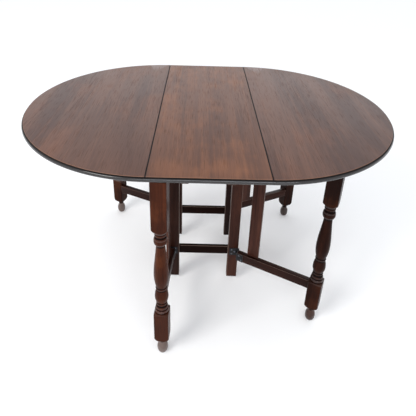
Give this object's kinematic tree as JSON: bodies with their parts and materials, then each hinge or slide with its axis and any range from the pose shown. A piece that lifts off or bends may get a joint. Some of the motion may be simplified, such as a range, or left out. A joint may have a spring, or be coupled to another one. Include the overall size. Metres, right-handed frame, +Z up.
{
  "type": "drop leaf table",
  "caption": "Oval gate-leg table: a narrow fixed top with a half-round drop leaf on each side, held level by turned legs on gates that swing out from a flat-post frame.",
  "frame": {"origin": "on the floor, under the middle of the top", "axes": "+X across the seams towards the right leaf, +Y along the seams towards the rear, +Z up"},
  "size_m": [1.35, 0.9952, 0.74],
  "materials": {
    "centre_board_oak": "dark stained and polished oak, warmer and more worn than the leaves",
    "leaf_oak": "dark stained and polished oak",
    "turned_oak": "nearly black stained oak, glossy on the turnings, worn pale on the feet",
    "frame_oak": "dark brown stained oak, satin",
    "iron": "blackened iron, semi-matt"
  },
  "bodies": {
    "frame": {"centre_board": "centre_board_oak", "left_leaf_hinge_front_board_flap": "iron", "left_leaf_hinge_rear_board_flap": "iron", "left_top_side_rail": "frame_oak", "left_bearer": "frame_oak", "right_leaf_hinge_front_board_flap": "iron", "right_leaf_hinge_rear_board_flap": "iron", "right_top_side_rail": "frame_oak", "right_bearer": "frame_oak", "front_low_cross_rail": "frame_oak", "front_top_cross_rail": "frame_oak", "rear_low_cross_rail": "frame_oak", "rear_top_cross_rail": "frame_oak", "front_left_post": "frame_oak", "front_left_low_hinge_post_plate": "iron", "front_left_top_hinge_post_plate": "iron", "front_right_post": "frame_oak", "front_right_low_hinge_post_plate": "iron", "front_right_top_hinge_post_plate": "iron", "rear_left_post": "frame_oak", "rear_left_low_hinge_post_plate": "iron", "rear_left_top_hinge_post_plate": "iron", "rear_right_post": "frame_oak", "rear_right_low_hinge_post_plate": "iron", "rear_right_top_hinge_post_plate": "iron"},
    "left_leaf": {"left_leaf": "leaf_oak", "left_leaf_hinge_front_leaf_flap": "iron", "left_leaf_hinge_rear_leaf_flap": "iron", "front_left_leaf_stop": "frame_oak", "rear_left_leaf_stop": "frame_oak"},
    "right_leaf": {"right_leaf": "leaf_oak", "right_leaf_hinge_front_leaf_flap": "iron", "right_leaf_hinge_rear_leaf_flap": "iron", "front_right_leaf_stop": "frame_oak", "rear_right_leaf_stop": "frame_oak"},
    "front_left_gate": {"front_left_leg": "turned_oak", "front_left_low_rail": "frame_oak", "front_left_top_rail": "frame_oak", "front_left_stile": "frame_oak", "front_left_low_hinge_gate_plate": "iron", "front_left_top_hinge_gate_plate": "iron"},
    "front_right_gate": {"front_right_leg": "turned_oak", "front_right_low_rail": "frame_oak", "front_right_top_rail": "frame_oak", "front_right_stile": "frame_oak", "front_right_low_hinge_gate_plate": "iron", "front_right_top_hinge_gate_plate": "iron"},
    "rear_left_gate": {"rear_left_leg": "turned_oak", "rear_left_low_rail": "frame_oak", "rear_left_top_rail": "frame_oak", "rear_left_stile": "frame_oak", "rear_left_low_hinge_gate_plate": "iron", "rear_left_top_hinge_gate_plate": "iron"},
    "rear_right_gate": {"rear_right_leg": "turned_oak", "rear_right_low_rail": "frame_oak", "rear_right_top_rail": "frame_oak", "rear_right_stile": "frame_oak", "rear_right_low_hinge_gate_plate": "iron", "rear_right_top_hinge_gate_plate": "iron"}
  },
  "joints": [
    {"name": "front_left_gate_swing", "type": "hinge", "parent": "frame", "child": "front_left_gate", "pos_m": [-0.142, -0.1458, 0], "axis": [0, 0, -1], "range_deg": [-5, 60]},
    {"name": "front_right_gate_swing", "type": "hinge", "parent": "frame", "child": "front_right_gate", "pos_m": [0.142, -0.1458, 0], "axis": [0, 0, 1], "range_deg": [-62, 3]},
    {"name": "rear_left_gate_swing", "type": "hinge", "parent": "frame", "child": "rear_left_gate", "pos_m": [-0.142, 0.1458, 0], "axis": [0, 0, 1], "range_deg": [-65, 0]},
    {"name": "rear_right_gate_swing", "type": "hinge", "parent": "frame", "child": "rear_right_gate", "pos_m": [0.142, 0.1458, 0], "axis": [0, 0, -1], "range_deg": [-65, 0]},
    {"name": "left_leaf_hinge", "type": "hinge", "parent": "frame", "child": "left_leaf", "pos_m": [-0.1775, 0, 0.7274], "axis": [0, 1, 0], "range_deg": [0, 2]},
    {"name": "right_leaf_hinge", "type": "hinge", "parent": "frame", "child": "right_leaf", "pos_m": [0.1775, 0, 0.7274], "axis": [0, -1, 0], "range_deg": [0, 2]}
  ]
}
